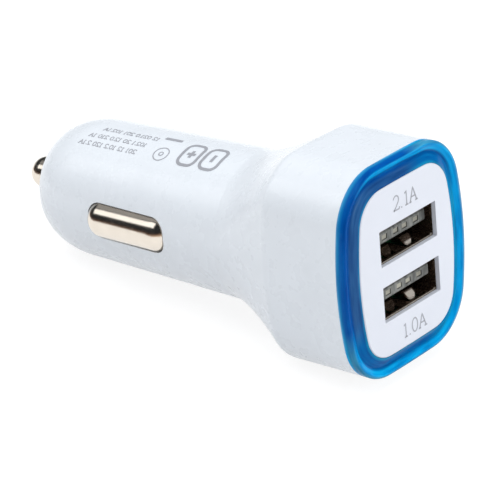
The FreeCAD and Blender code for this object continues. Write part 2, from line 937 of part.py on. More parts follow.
def converter_chip():
    """Eight-leg converter chip under the board."""
    body = block(
        (-chip_body_width / 2, chip_body_width / 2),
        (chip_depth - chip_length / 2, chip_depth + chip_length / 2),
        (board_bottom - chip_height, board_bottom - chip_leg_thickness / 2),
    )
    for side in (-1, 1):
        for i in range(chip_legs_per_side):
            y = chip_depth + (i - (chip_legs_per_side - 1) / 2) * chip_leg_pitch
            leg = block(
                sorted((side * (chip_body_width / 2 - join), side * chip_leg_span / 2)),
                (y - chip_leg_width / 2, y + chip_leg_width / 2),
                (board_bottom - chip_leg_thickness, board_bottom),
            )
            body = body.fuse(leg)
    return body.removeSplitter()


def rectifier_diode():
    """Surface diode: chamfered block on the board's top."""
    body = block(
        (diode_offset - diode_width / 2, diode_offset + diode_width / 2),
        (diode_depth - diode_length / 2, diode_depth + diode_length / 2),
        (board_top, board_top + diode_height),
    )
    top = board_top + diode_height
    upper = [edge for edge in body.Edges if edge.BoundBox.ZMin > top - edge_tolerance]
    return body.makeChamfer(diode_chamfer, upper)


def fuse_piece():
    """Surface fuse under the board's narrow part, with a waist between its end caps."""
    low = board_bottom - fuse_height
    body = block(
        (-fuse_width / 2, fuse_width / 2),
        (fuse_depth - fuse_length / 2, fuse_depth + fuse_length / 2),
        (low, board_bottom),
    )
    waist_half = fuse_waist_length / 2
    room = block(
        (-fuse_width / 2 - spare, fuse_width / 2 + spare),
        (fuse_depth - waist_half, fuse_depth + waist_half),
        (low - spare, board_bottom + spare),
    )
    core = block(
        (-fuse_width / 2 + fuse_waist_step, fuse_width / 2 - fuse_waist_step),
        (fuse_depth - waist_half, fuse_depth + waist_half),
        (low + fuse_waist_step, board_bottom - fuse_waist_step),
    )
    return body.cut(room.cut(core))


def resistors():
    """Small resistors in two rows on the board's top."""
    group = []
    for side in (-1, 1):
        x = side * resistor_offset
        for i in range(resistor_count):
            y = board_wide_end - resistor_end_gap - i * resistor_spacing
            group.append(
                block(
                    (x - resistor_width / 2, x + resistor_width / 2),
                    (y - resistor_length / 2, y + resistor_length / 2),
                    (board_top, board_top + resistor_height),
                )
            )
    return Part.makeCompound(group)


def build():
    """Every piece of the charger by its node name."""
    contact = side_contact()
    spring = side_spring()
    return {
        "housing": housing(),
        "light_ring": light_ring(),
        "face_plate": face_plate(),
        "usb_shell_upper": usb_shell(upper_port, -1),
        "usb_shell_lower": usb_shell(lower_port, 1),
        "usb_tongue_upper": usb_tongue(upper_port),
        "usb_tongue_lower": usb_tongue(lower_port),
        "usb_contacts_upper": usb_contacts(upper_port),
        "usb_contacts_lower": usb_contacts(lower_port),
        "main_board": main_board(),
        "lamp_board": lamp_board(),
        "lamps": lamps(),
        "tip_contact": tip_contact(),
        "tip_spring": tip_spring(),
        "tip_terminal": tip_terminal(),
        "side_contact_right": contact,
        "side_contact_left": mirrored(contact),
        "side_spring_right": spring,
        "side_spring_left": mirrored(spring),
        "choke_core": choke_core(),
        "choke_winding": choke_winding(),
        "input_capacitor": capacitor(
            input_can_radius, input_can_length, input_can_front, board_top + input_can_radius
        ),
        "output_capacitor": capacitor(
            output_can_radius, output_can_length, output_can_front, board_bottom - output_can_radius
        ),
        "converter_chip": converter_chip(),
        "rectifier_diode": rectifier_diode(),
        "fuse": fuse_piece(),
        "resistors": resistors(),
    }


def main():
    os.makedirs("parts", exist_ok=True)
    for name, shape in build().items():
        shape.exportStep(f"parts/{name}.step")
        print(
            f"{name}: solids {len(shape.Solids)}, valid {shape.isValid()}, "
            f"volume {shape.Volume:.1f}"
        )


main()
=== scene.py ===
"""Looks of the dual USB car charger: finishes, printed marks, lights, floor and camera."""

import json
import math

import bmesh
import bpy
from mathutils import Matrix, Vector

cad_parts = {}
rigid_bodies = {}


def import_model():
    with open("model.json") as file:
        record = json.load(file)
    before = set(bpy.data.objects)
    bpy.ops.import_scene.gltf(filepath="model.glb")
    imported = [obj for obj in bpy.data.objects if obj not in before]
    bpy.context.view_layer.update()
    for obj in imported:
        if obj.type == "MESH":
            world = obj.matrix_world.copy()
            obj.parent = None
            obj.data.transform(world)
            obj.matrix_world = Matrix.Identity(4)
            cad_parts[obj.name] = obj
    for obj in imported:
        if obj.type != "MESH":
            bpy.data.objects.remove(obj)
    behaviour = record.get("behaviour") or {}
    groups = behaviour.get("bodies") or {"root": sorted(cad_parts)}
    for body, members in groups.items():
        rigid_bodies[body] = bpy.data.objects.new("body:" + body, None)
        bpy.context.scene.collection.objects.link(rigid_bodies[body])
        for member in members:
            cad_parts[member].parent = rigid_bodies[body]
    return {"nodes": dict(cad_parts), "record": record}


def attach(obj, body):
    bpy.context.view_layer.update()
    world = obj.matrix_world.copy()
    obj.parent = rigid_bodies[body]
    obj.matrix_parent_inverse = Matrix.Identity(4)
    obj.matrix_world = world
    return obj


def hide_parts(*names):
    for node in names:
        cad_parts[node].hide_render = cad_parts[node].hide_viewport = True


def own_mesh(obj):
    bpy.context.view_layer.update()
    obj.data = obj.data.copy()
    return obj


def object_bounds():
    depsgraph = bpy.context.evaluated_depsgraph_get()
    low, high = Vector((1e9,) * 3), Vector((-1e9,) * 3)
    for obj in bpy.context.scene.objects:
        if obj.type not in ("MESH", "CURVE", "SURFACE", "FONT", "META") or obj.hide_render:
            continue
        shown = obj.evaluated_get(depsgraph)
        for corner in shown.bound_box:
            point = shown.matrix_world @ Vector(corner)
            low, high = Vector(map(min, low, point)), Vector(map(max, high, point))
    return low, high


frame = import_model()
cad_low, cad_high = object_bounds()

MM = 0.001

# Camera: its direction and distance from the middle of the face, and the pixel that shows this point
camera_azimuth = math.radians(-48.0618)
camera_elevation = math.radians(23.3004)
camera_roll = math.radians(-5.3245)
camera_distance = 366.638 * MM
camera_clip_start = 10 * MM
camera_clip_end = 10
focal_pixels = 2700
picture_pixels = 500
face_pixel_x = 408.2954
face_pixel_y = 260.6756
sensor_width = 36

# Shape of the plug barrel, which carries the print
barrel_start = 25.6 * MM
barrel_end = 54.6 * MM
barrel_start_radius = 10.95 * MM
barrel_end_radius = 10.3 * MM

# How the charger rests: on the head's lower edge, at this depth, and on its nose
head_bottom = cad_low.z
rest_tilt = math.radians(6.93)
rest_edge_y = 14.05 * MM

# Outline of the ring: bulging sides, round corners, flat top and bottom, and the depth where its wall starts
ring_half_width = cad_high.x
ring_half_height = cad_high.z
ring_corner_radius = 8.0 * MM
ring_side_radius = 48.1 * MM
ring_side_turn = math.radians(10.5)
ring_rim_depth = 0.85 * MM

# Directions, from the plug's axis, of the ring's stretches that get different painted light and shade
ring_right = (0.97, 0, -0.24)
ring_top = (-0.22, 0, 0.975)
ring_left = (-0.97, 0, 0.24)

# Where a highlight is painted on the sockets' steel: the floor's front edge where it faces up, and one
# latch's free end in each
highlight_edge = 0.95 * MM
highlight_fade = 0.2 * MM
highlight_tip_start = 1.7 * MM
highlight_tip_upper = 1.98 * MM
highlight_tip_lower = 2.5 * MM
highlight_tip_side = 2.75 * MM
highlight_tip_half = 0.75 * MM

# Depths of the grain in the finishes, and how far the ring's painted reflection streaks are drawn out
plastic_grain = 0.02 * MM
metal_grain = 0.01 * MM
board_grain = 0.02 * MM
wire_relief = 0.1 * MM
reflection_streak_share = 0.10

# Surroundings, and the floor as the eye and as the charger see it
world_level = 0.65
world_tint = (0.97, 0.985, 1.0)
floor_size = 3.0
floor_glow = 0.85
floor_paint = 0.24
floor_bounce = 0.70

# Lamps, in metres and watts, aimed at the middle of the charger
lamp_aim = (0, 0.03, 0)
overhead_place = (-0.05, 0.05, 0.40)
overhead_size = (0.35, 0.45)
overhead_power = 1.1
front_place = (0.25, -0.35, 0.15)
front_size = (0.25, 0.25)
front_power = 0.80

# Dark dome that gloss shows, with a pale part low on the far side
dome_radius = 0.5
dome_level = 0.03
dome_tint = (0.8, 0.9, 1.0)
pale_level = 0.40
pale_tint = (0.95, 0.98, 1.0)
pale_height = 0.13

# Dark curved wall that gloss shows on the seen contact's side, with its colours from the bottom up
screen_radius = 0.13
screen_height = 0.07
screen_place = (0, 0.03, 0)
screen_stops = [
    (0.0, (0.85, 0.72, 0.60)),
    (0.32, (0.62, 0.44, 0.32)),
    (0.52, (0.20, 0.12, 0.08)),
    (0.72, (0.025, 0.02, 0.02)),
]

# Bright cards that gloss shows: directions (x, z) of two edges, and both ends as shares of the distance
card_distance = 0.40
side_card_low = (-0.587, 0.50)
side_card_high = (-0.271, 0.741)
side_card_ends = (-0.1, 1.8)
side_card_level = 1.45
top_card_low = (-0.20, 0.80)
top_card_high = (0.35, 0.80)
top_card_ends = (-0.3, 1.8)
top_card_level = 0.35

# Ink: raised ribbons in short pieces that follow the surface
ink_lift = 0.006 * MM
ink_thickness = 0.020 * MM
ink_step = 0.35 * MM

# Ratings on the plate, with the lower left corner of each as (x, z)
label_height = 2.15 * MM
label_stroke = 0.20 * MM
upper_label = (-2.45 * MM, 8.05 * MM)
lower_label = (-2.2 * MM, -10.85 * MM)

# Print on the barrel: rows as (degrees from the top towards -X, depth in mm, figures)
print_rows = (
    (6.0, 42.6, "12 021.0 201 102.1A"),
    (15.5, 43.6, "102.1 20 12.0 210 1A"),
    (24.0, 44.4, "201 12 10.2 120 2.1A"),
)
row_height = 0.78 * MM
row_stretch = 1.25
row_rise = 0.80 * MM
row_stroke = 0.12 * MM
bar_start = 38.7 * MM
bar_length = 3.2 * MM
bar_pieces = 4
bar_angle = 4.6
bar_stroke = 0.60 * MM
dot_depth = 40.0 * MM
dot_angle = 23.0
dot_radius = 0.35 * MM
dot_ring_radius = 1.25 * MM
dot_stroke = 0.16 * MM
plus_depth = 35.0 * MM
minus_depth = 30.9 * MM
sign_angle = 17.5
sign_arm = 0.75 * MM
sign_half = (1.55 * MM, 2.2 * MM)
sign_corner_radius = 1.1 * MM
sign_stroke = 0.50 * MM


def set_stops(ramp, stops):
    """Gives a colour ramp its (place, colour) stops."""
    while len(ramp.elements) < len(stops):
        ramp.elements.new(0.5)
    for element, (place, colour) in zip(ramp.elements, stops):
        element.position = place
        element.color = (*colour, 1)


class Graph:
    """A material's node tree, with short calls to add and join nodes."""

    def __init__(self, name):
        self.material = bpy.data.materials.new(name)
        self.material.use_nodes = True
        self.tree = self.material.node_tree
        self.shader = self.tree.nodes["Principled BSDF"]

    def node(self, kind, **settings):
        made = self.tree.nodes.new("ShaderNode" + kind)
        for key, value in settings.items():
            setattr(made, key, value)
        return made

    def join(self, source, target):
        self.tree.links.new(source, target)

    def feed(self, name, source):
        """Joins a value or a colour to one input of the shader."""
        self.join(source, self.shader.inputs[name])

    def place(self):
        return self.node("TexCoord").outputs["Object"]

    def noise(self, scale, detail=3.0, stretch=None, source=None):
        """Noise in features per metre, over the object's own place unless a source is given."""
        texture = self.node("TexNoise")
        texture.inputs["Scale"].default_value = scale
        texture.inputs["Detail"].default_value = detail
        source = source or self.place()
        if stretch:
            mapping = self.node("Mapping")
            mapping.inputs["Scale"].default_value = stretch
            self.join(source, mapping.inputs["Vector"])
            source = mapping.outputs["Vector"]
        self.join(source, texture.inputs["Vector"])
        return texture.outputs["Fac"]

    def spread(self, source, low, high, start=0.3, end=0.7):
        """Maps a value onto a range."""
        made = self.node("MapRange")
        made.inputs["From Min"].default_value = start
        made.inputs["From Max"].default_value = end
        made.inputs["To Min"].default_value = low
        made.inputs["To Max"].default_value = high
        self.join(source, made.inputs["Value"])
        return made.outputs["Result"]

    def ramp(self, source, stops, smooth=True):
        """Colour ramp from (place, colour) stops."""
        made = self.node("ValToRGB")
        made.color_ramp.interpolation = "EASE" if smooth else "LINEAR"
        set_stops(made.color_ramp, stops)
        self.join(source, made.inputs["Fac"])
        return made.outputs["Color"]

    def calc(self, operation, first, second=None):
        """One step of arithmetic on values or sockets."""
        made = self.node("Math", operation=operation)
        for socket, value in zip(made.inputs, (first, second)):
            if isinstance(value, (int, float)):
                socket.default_value = value
            elif value is not None:
                self.join(value, socket)
        return made.outputs["Value"]

    def between(self, choice, first, second):
        """The first value where choice is 0, and the second where it is 1."""
        step = self.calc("SUBTRACT", second, first)
        return self.calc("ADD", first, self.calc("MULTIPLY", step, choice))

    def blend(self, factor, first, second):
        """Mixes two colours by a factor."""
        made = self.node("Mix", data_type="RGBA")
        self.join(factor, made.inputs["Factor"])
        for name, value in (("A", first), ("B", second)):
            socket = next(s for s in made.inputs if s.name == name and s.type == "RGBA")
            if isinstance(value, tuple):
                socket.default_value = (*value, 1)
            else:
                self.join(value, socket)
        return next(s for s in made.outputs if s.type == "RGBA")

    def relief(self, source, strength, distance):
        """Gives the surface a relief from a value."""
        made = self.node("Bump")
        made.inputs["Strength"].default_value = strength
        made.inputs["Distance"].default_value = distance
        self.join(source, made.inputs["Height"])
        self.feed("Normal", made.outputs["Normal"])

    def set(self, **values):
        """Sets plain values of the shader, such as coat_weight."""
        for name, value in values.items():
            self.shader.inputs[name.replace("_", " ").title().replace("Ior", "IOR")].default_value = value


def shade(colour, factor):
    """The colour made darker by a factor."""
    return tuple(channel * factor for channel in colour)


def moulded_plastic(name, colour, roughness, coat=0.0, variation=0.03, grain=0.0):
    """Moulded plastic: faint clouds of colour, uneven gloss and a fine grain."""
    graph = Graph(name)
    clouds = graph.noise(180)
    paint = graph.blend(graph.spread(clouds, 0, 1), shade(colour, 1 - variation), colour)
    graph.feed("Base Color", paint)
    gloss = graph.spread(graph.noise(420), roughness * 0.88, roughness * 1.14)
    graph.feed("Roughness", gloss)
    if grain:
        fine = graph.noise(5200, 2)
        graph.relief(fine, grain, plastic_grain)
    graph.set(coat_weight=coat, coat_roughness=0.08)
    return graph.material


def milky_plastic(name, dark, light):
    """Cloudy insulator with upright streaks."""
    graph = Graph(name)
    clouds = graph.noise(1700, 3.0, (1, 0.3, 0.25))
    paint = graph.blend(graph.spread(clouds, 0, 1, 0.35, 0.65), dark, light)
    graph.feed("Base Color", paint)
    graph.feed("Roughness", graph.spread(graph.noise(900), 0.35, 0.5))
    return graph.material


def plated_metal(name, colour, roughness, stretch=(1, 1, 1), variation=0.08, metallic=1.0):
    """Plated or bare metal with fine drawn marks."""
    graph = Graph(name)
    marks = graph.noise(2600, 4, stretch)
    paint = graph.blend(graph.spread(graph.noise(350), 0, 1), shade(colour, 1 - variation), colour)
    graph.feed("Base Color", paint)
    graph.feed("Roughness", graph.spread(marks, roughness * 0.8, roughness * 1.3))
    graph.relief(marks, 0.03, metal_grain)
    graph.set(metallic=metallic)
    return graph.material


def steel_painted_highlights(name):
    """Folded sheet of the sockets: dark, with a painted highlight on the floor's front edge where it faces
    up and on one latch tip in each socket.
    """
    graph = Graph(name)
    calc = graph.calc
    parts = graph.node("SeparateXYZ")
    graph.join(graph.place(), parts.inputs["Vector"])
    depth = parts.outputs["Y"]
    facing = graph.node("SeparateXYZ")
    graph.join(graph.node("NewGeometry").outputs["Normal"], facing.inputs["Vector"])
    # Painted highlight: the floor's front edge only where it faces up, and one latch tip per socket, turn
    # pale and less metallic
    facing_up_lit = graph.spread(facing.outputs["Z"], 0, 1, 0.3, 0.6)
    edge = calc("MULTIPLY", graph.spread(depth, 1, 0, highlight_edge, highlight_edge + highlight_fade), facing_up_lit)
    limit = graph.between(calc("LESS_THAN", parts.outputs["Z"], 0), highlight_tip_upper, highlight_tip_lower)
    short = graph.spread(calc("SUBTRACT", depth, limit), 1, 0, 0, highlight_fade)
    aside = calc("ABSOLUTE", calc("SUBTRACT", parts.outputs["X"], highlight_tip_side))
    narrow = graph.spread(aside, 1, 0, highlight_tip_half, highlight_tip_half + highlight_fade)
    beyond = calc("GREATER_THAN", depth, highlight_tip_start)
    tip = calc("MULTIPLY", calc("MULTIPLY", short, narrow), beyond)
    # front is where the highlight is painted
    front = calc("MAXIMUM", edge, tip)
    clouds = graph.spread(graph.noise(700), 0, 1)
    deep = graph.blend(clouds, (0.20, 0.135, 0.095), (0.29, 0.20, 0.145))
    graph.feed("Base Color", graph.blend(front, deep, (0.92, 0.84, 0.74)))
    graph.feed("Metallic", graph.spread(front, 0.93, 0.40, 0, 1))
    marks = graph.noise(2600, 4, (0.3, 1, 1))
    graph.feed("Roughness", graph.spread(marks, 0.20, 0.30))
    return graph.material


def ring_inset(graph):
    """How far a place lies inside the ring's outline, in metres. It goes below 0 down the outer wall."""
    parts = graph.node("SeparateXYZ")
    graph.join(graph.place(), parts.inputs["Vector"])
    calc = graph.calc
    x = calc("ABSOLUTE", parts.outputs["X"])
    z = calc("ABSOLUTE", parts.outputs["Z"])
    away = ring_side_radius - ring_corner_radius
    corner_x = ring_half_width - ring_side_radius + away * math.cos(ring_side_turn)
    corner_z = ring_half_height - ring_corner_radius
    side_x = ring_half_width - ring_side_radius

    def reach(from_x, from_z):
        across = calc("SUBTRACT", x, from_x)
        up = calc("SUBTRACT", z, from_z)
        return calc("SQRT", calc("ADD", calc("MULTIPLY", across, across), calc("MULTIPLY", up, up)))

    corner = calc("SUBTRACT", ring_corner_radius, reach(corner_x, corner_z))
    side = calc("SUBTRACT", ring_side_radius, reach(side_x, 0))
    top = calc("SUBTRACT", ring_half_height, z)
    turned_up = calc("MULTIPLY", calc("SUBTRACT", z, corner_z), math.cos(ring_side_turn))
    turned_in = calc("MULTIPLY", calc("SUBTRACT", x, corner_x), math.sin(ring_side_turn))
    by_side = calc("LESS_THAN", calc("SUBTRACT", turned_up, turned_in), 0)
    by_top = calc("LESS_THAN", x, corner_x)
    inset = graph.between(by_top, graph.between(by_side, corner, side), top)
    wall = calc("MAXIMUM", calc("SUBTRACT", parts.outputs["Y"], ring_rim_depth), 0)
    return calc("SUBTRACT", inset, wall)


def side_share(graph, direction, low, high):
    """0 to 1 as the way from the plug axis to a place turns towards a direction."""
    flat = graph.node("VectorMath", operation="MULTIPLY")
    flat.inputs[1].default_value = (1, 0, 1)
    graph.join(graph.place(), flat.inputs[0])
    turned = graph.node("VectorMath", operation="NORMALIZE")
    graph.join(flat.outputs["Vector"], turned.inputs[0])
    facing = graph.node("VectorMath", operation="DOT_PRODUCT")
    facing.inputs[1].default_value = direction
    graph.join(turned.outputs["Vector"], facing.inputs[0])
    return graph.spread(facing.outputs["Value"], 0, 1, low, high)


def bands(graph, inset, stops):
    """Colours across the ring's section, with painted highlights and shade, from its outer wall to its inner
    lip, by inset in mm.
    """
    first, last = stops[0][0], stops[-1][0]
    across = graph.spread(inset, 0, 1, first * MM, last * MM)
    places = [((place - first) / (last - first), colour) for place, colour in stops]
    return graph.ramp(across, places, smooth=False)


def streaks(graph, inset):
    """Noise drawn out along the ring, so that it runs in lines beside its outline: painted streaks of
    reflection.
    """
    shrunk = graph.node("VectorMath", operation="MULTIPLY")
    shrunk.inputs[1].default_value = (reflection_streak_share, reflection_streak_share, reflection_streak_share)
    graph.join(graph.place(), shrunk.inputs[0])
    parts = graph.node("SeparateXYZ")
    graph.join(shrunk.outputs["Vector"], parts.inputs["Vector"])
    along = graph.node("CombineXYZ")
    graph.join(parts.outputs["X"], along.inputs["X"])
    graph.join(inset, along.inputs["Y"])
    graph.join(parts.outputs["Z"], along.inputs["Z"])
    return graph.noise(2100, 2.0, source=along.outputs["Vector"])


def clear_blue(name):
    """Clear blue light guide: bands of blue with painted highlights and shade follow its grooved section and
    change from side to side, as the light falls on each side.
    """
    graph = Graph(name)
    inset = ring_inset(graph)
    frost = (0.13, 0.42, 0.68)
    teal = (0.019, 0.25, 0.53)
    ocean = (0.004, 0.14, 0.42)
    navy = (0.001, 0.086, 0.37)
    slate = (0.028, 0.118, 0.315)
    dusk = (0.015, 0.085, 0.265)
    sky = (0.020, 0.25, 0.50)
    deep = (0.001, 0.135, 0.41)
    bright = (0.002, 0.37, 0.80)
    aqua = (0.010, 0.26, 0.47)
    mist = (0.050, 0.30, 0.50)
    pale = (0.16, 0.34, 0.50)
    rim = (0.004, 0.17, 0.38)
    lit = bands(graph, inset, [
        (-0.8, bright), (-0.3, aqua), (0.0, mist), (0.25, mist), (0.55, bright), (1.15, bright),
        (1.45, deep), (2.6, deep), (3.0, aqua),
    ])
    right = bands(graph, inset, [
        (-0.8, rim), (-0.2, rim), (0.10, pale), (0.40, pale), (0.70, bright), (1.35, bright),
        (1.55, aqua), (2.6, aqua), (3.0, sky),
    ])
    top = bands(graph, inset, [
        (-0.8, frost), (-0.5, teal), (-0.2, ocean), (0.05, navy), (0.3, navy), (0.55, bright),
        (1.0, bright), (1.3, deep), (1.7, navy), (2.1, dusk), (3.0, dusk),
    ])
    left = bands(graph, inset, [
        (-0.8, frost), (-0.55, teal), (-0.25, ocean), (0.05, navy), (1.4, navy), (1.8, slate),
        (2.8, slate), (3.0, sky),
    ])
    # Painted light and shade: the right, top and left stretches each get their own lighter or darker bands
    paint = graph.blend(side_share(graph, ring_right, 0.5, 0.8), lit, right)
    paint = graph.blend(side_share(graph, ring_top, 0.86, 0.96), paint, top)
    paint = graph.blend(side_share(graph, ring_left, 0.60, 0.80), paint, left)
    # Painted reflections: streaks that lighten or darken the blue along the ring
    uneven = graph.ramp(streaks(graph, inset), [
        (0.30, (0.62, 0.70, 0.80)), (0.55, (1, 1, 1)), (0.72, (1.9, 1.25, 1.1)),
    ])
    streaked = graph.node("Mix", data_type="RGBA", blend_type="MULTIPLY")
    streaked.inputs["Factor"].default_value = 1
    colours = [s for s in streaked.inputs if s.type == "RGBA"]
    graph.join(paint, colours[0])
    graph.join(uneven, colours[1])
    result = next(s for s in streaked.outputs if s.type == "RGBA")
    graph.feed("Base Color", result)
    graph.feed("Roughness", graph.spread(graph.noise(900), 0.10, 0.18))
    graph.set(coat_weight=0.02, coat_roughness=0.04, specular_ior_level=0.03)
    return graph.material


def circuit_board(name):
    """Dark green solder mask with paler tracks between its cells."""
    graph = Graph(name)
    cells = graph.node("TexVoronoi", feature="DISTANCE_TO_EDGE")
    cells.inputs["Scale"].default_value = 650
    graph.join(graph.place(), cells.inputs["Vector"])
    mask = graph.spread(cells.outputs["Distance"], 0, 1, 0.04, 0.10)
    paint = graph.blend(mask, (0.02, 0.16, 0.07), (0.01, 0.085, 0.04))
    graph.feed("Base Color", paint)
    graph.feed("Roughness", graph.spread(graph.noise(900), 0.25, 0.4))
    graph.relief(mask, 0.2, board_grain)
    return graph.material


def wound_wire(name, colour, scale):
    """Enamelled wire wound round an upright core, with finer turns at a larger scale, and painted shade in
    the grooves between turns.
    """
    graph = Graph(name)
    wave = graph.node("TexWave", wave_type="BANDS", bands_direction="Z", wave_profile="SIN")
    wave.inputs["Scale"].default_value = scale
    graph.join(graph.place(), wave.inputs["Vector"])
    turns = wave.outputs["Fac"]
    # Painted shade: the colour darkens between turns, beside the real relief of the turns
    paint = graph.blend(turns, shade(colour, 0.35), colour)
    graph.feed("Base Color", paint)
    graph.relief(turns, 0.8, wire_relief)
    graph.set(metallic=0.9, roughness=0.25)
    return graph.material


def lamp_lens(name):
    """Small cast lamp: milky lens with a warm core."""
    graph = Graph(name)
    core = graph.spread(graph.noise(1500), 0, 1)
    paint = graph.blend(core, (0.75, 0.72, 0.45), (0.85, 0.86, 0.80))
    graph.feed("Base Color", paint)
    graph.feed("Roughness", graph.spread(graph.noise(2500), 0.15, 0.3))
    graph.set(coat_weight=0.5)
    return graph.material


def finishes():
    """One material for each slot of the record."""
    return {
        "housing_white": moulded_plastic("housing_plastic", (0.80, 0.845, 0.90), 0.28, coat=0.12),
        "ring_blue": clear_blue("clear_blue_guide"),
        "plate_white": moulded_plastic("plate_plastic", (0.78, 0.81, 0.89), 0.35, variation=0.02),
        "nickel": plated_metal("nickel_plate", (0.82, 0.75, 0.66), 0.17, (1, 0.2, 1)),
        "socket_steel": steel_painted_highlights("steel_painted_highlights"),
        "socket_plastic": milky_plastic("grey_insulator", (0.085, 0.09, 0.085), (0.23, 0.235, 0.22)),
        "socket_contacts": plated_metal(
            "tinned_contact", (0.44, 0.43, 0.36), 0.35, variation=0.4, metallic=0.5
        ),
        "board_green": circuit_board("board_mask"),
        "lamp_lens": lamp_lens("lamp_lens"),
        "brass": plated_metal("brass", (0.74, 0.55, 0.25), 0.22),
        "spring_steel": plated_metal("spring_steel", (0.52, 0.52, 0.53), 0.24),
        "ferrite": moulded_plastic("ferrite", (0.05, 0.05, 0.055), 0.6, variation=0.3, grain=0.2),
        "copper": wound_wire("copper_winding", (0.75, 0.33, 0.16), 900),
        "can_sleeve": moulded_plastic("can_sleeve", (0.02, 0.03, 0.09), 0.3, variation=0.2),
        "chip_black": moulded_plastic("chip_resin", (0.03, 0.03, 0.032), 0.55, variation=0.2, grain=0.3),
        "ceramic": moulded_plastic("ceramic", (0.75, 0.74, 0.70), 0.4, variation=0.15, grain=0.1),
    }


def node_slots():
    """The material slot of each node, from the record."""
    return {entry["node"]: entry["material_slot"] for entry in frame["record"]["subparts"]}


def dress_nodes(materials):
    """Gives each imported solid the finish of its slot."""
    slots = node_slots()
    for name, piece in frame["nodes"].items():
        piece.data.materials.clear()
        piece.data.materials.append(materials[slots[name]])


def flexing_springs():
    """Springs of the record's joints, each as a copy in place of the solid of its shape, carried by its
    joint's parent.
    """
    for joint in frame["record"]["behaviour"]["joints"]:
        for entry in joint["deforming_nodes"]:
            node = entry["node"]
            made = bpy.data.objects.new(node + "_flex", frame["nodes"][node].data.copy())
            bpy.context.scene.collection.objects.link(made)
            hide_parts(node)
            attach(made, joint["parent"])
            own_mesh(made)


def camera():
    """Camera with the photograph's view."""
    azimuth, elevation, roll = camera_azimuth, camera_elevation, camera_roll
    back = Vector((
        math.sin(azimuth) * math.cos(elevation),
        -math.cos(azimuth) * math.cos(elevation),
        math.sin(elevation),
    ))
    level_right = Vector((math.cos(azimuth), math.sin(azimuth), 0))
    level_up = back.cross(level_right)
    right = math.cos(roll) * level_right + math.sin(roll) * level_up
    up = -math.sin(roll) * level_right + math.cos(roll) * level_up
    per_pixel = camera_distance / focal_pixels
    across = (face_pixel_x - picture_pixels / 2) * per_pixel
    rise = -(face_pixel_y - picture_pixels / 2) * per_pixel
    data = bpy.data.cameras.new("camera")
    data.sensor_width = sensor_width
    data.lens = focal_pixels * sensor_width / picture_pixels
    data.clip_start = camera_clip_start
    data.clip_end = camera_clip_end
    made = bpy.data.objects.new("camera", data)
    turn = Matrix((right, up, back)).transposed().to_4x4()
    made.matrix_world = Matrix.Translation(back * camera_distance - across * right - rise * up) @ turn
    bpy.context.scene.collection.objects.link(made)
    bpy.context.scene.camera = made


def seen_directly(tree):
    """1 for rays from the camera and for those mirrored or let through, so that gloss shows white too."""
    path = tree.nodes.new("ShaderNodeLightPath")
    value = path.outputs["Is Camera Ray"]
    for name in ("Is Glossy Ray", "Is Transmission Ray"):
        larger = tree.nodes.new("ShaderNodeMath")
        larger.operation = "MAXIMUM"
        tree.links.new(value, larger.inputs[0])
        tree.links.new(path.outputs[name], larger.inputs[1])
        value = larger.outputs["Value"]
    return value


def world():
    """White surroundings for the eye, and a plain level of light for the object."""
    made = bpy.data.worlds.new("studio")
    bpy.context.scene.world = made
    made.use_nodes = True
    tree = made.node_tree
    tree.nodes.clear()
    output = tree.nodes.new("ShaderNodeOutputWorld")
    mixed = tree.nodes.new("ShaderNodeMixShader")
    light = tree.nodes.new("ShaderNodeBackground")
    light.inputs["Color"].default_value = (*world_tint, 1)
    light.inputs["Strength"].default_value = world_level
    white = tree.nodes.new("ShaderNodeBackground")
    white.inputs["Color"].default_value = (1, 1, 1, 1)
    white.inputs["Strength"].default_value = 1.0
    tree.links.new(seen_directly(tree), mixed.inputs["Fac"])
    tree.links.new(light.outputs["Background"], mixed.inputs[1])
    tree.links.new(white.outputs["Background"], mixed.inputs[2])
    tree.links.new(mixed.outputs["Shader"], output.inputs["Surface"])


def floor_material():
    """White floor that keeps a soft shadow, and is clear when seen from below."""
    material = bpy.data.materials.new("floor_white")
    material.use_nodes = True
    tree = material.node_tree
    tree.nodes.clear()
    output = tree.nodes.new("ShaderNodeOutputMaterial")
    plain = tree.nodes.new("ShaderNodeBsdfDiffuse")
    plain.inputs["Color"].default_value = (floor_bounce, floor_bounce, floor_bounce, 1)
    painted = tree.nodes.new("ShaderNodeBsdfDiffuse")
    painted.inputs["Color"].default_value = (floor_paint, floor_paint, floor_paint, 1)
    glow = tree.nodes.new("ShaderNodeEmission")
    glow.inputs["Color"].default_value = (1, 1, 1, 1)
    glow.inputs["Strength"].default_value = floor_glow
    added = tree.nodes.new("ShaderNodeAddShader")
    mixed = tree.nodes.new("ShaderNodeMixShader")
    tree.links.new(painted.outputs["BSDF"], added.inputs[0])
    tree.links.new(glow.outputs["Emission"], added.inputs[1])
    tree.links.new(seen_directly(tree), mixed.inputs["Fac"])
    tree.links.new(plain.outputs["BSDF"], mixed.inputs[1])
    tree.links.new(added.outputs["Shader"], mixed.inputs[2])
    clear = tree.nodes.new("ShaderNodeBsdfTransparent")
    sided = tree.nodes.new("ShaderNodeMixShader")
    tree.links.new(tree.nodes.new("ShaderNodeNewGeometry").outputs["Backfacing"], sided.inputs["Fac"])
    tree.links.new(mixed.outputs["Shader"], sided.inputs[1])
    tree.links.new(clear.outputs["BSDF"], sided.inputs[2])
    tree.links.new(sided.outputs["Shader"], output.inputs["Surface"])
    return material


def floor():
    """The surface that the charger lies on, tilted so that both the head and the nose touch it."""
    half = floor_size / 2
    corners = [(-half, -half, 0), (half, -half, 0), (half, half, 0), (-half, half, 0)]
    mesh = bpy.data.meshes.new("floor")
    mesh.from_pydata(corners, [], [(0, 1, 2, 3)])
    mesh.materials.append(floor_material())
    made = bpy.data.objects.new("floor", mesh)
    contact = Vector((0, rest_edge_y, head_bottom))
    made.matrix_world = Matrix.Translation(contact) @ Matrix.Rotation(rest_tilt, 4, "X")
    bpy.context.scene.collection.objects.link(made)


